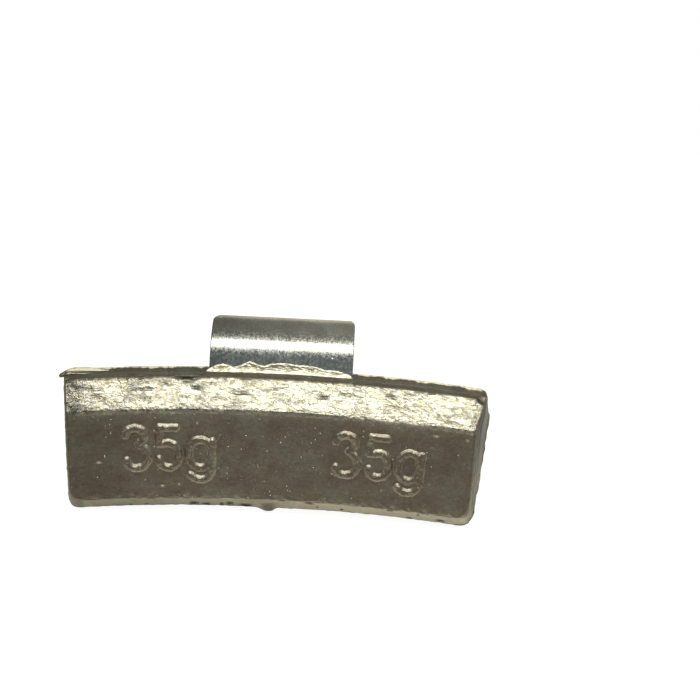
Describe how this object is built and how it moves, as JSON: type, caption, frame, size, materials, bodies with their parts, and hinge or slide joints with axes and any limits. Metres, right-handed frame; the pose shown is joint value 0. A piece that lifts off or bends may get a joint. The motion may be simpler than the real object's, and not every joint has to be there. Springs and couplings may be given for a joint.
{
  "type": "wheel balance weight",
  "caption": "Clip-on wheel balance weight: a curved cast lead bar with a bevelled front, on a plated spring-steel clip that hooks over a rim flange.",
  "frame": {"origin": "middle of the flat back face, half way up it on the plane of symmetry of the cast body", "axes": "+X along the rim, the long way of the body; +Y out of the flat back face, away from the viewer of a fitted weight; +Z away from the wheel's axle, the side of the clip. The axle lies along Y, 203.5 mm below the origin"},
  "size_m": [0.0458, 0.0129, 0.0213],
  "materials": {
    "cast_weight": "cast, dull metallic",
    "clip": "bright zinc plate"
  },
  "bodies": {
    "root": {"cast_weight": "cast_weight", "clip": "clip"}
  },
  "joints": []
}
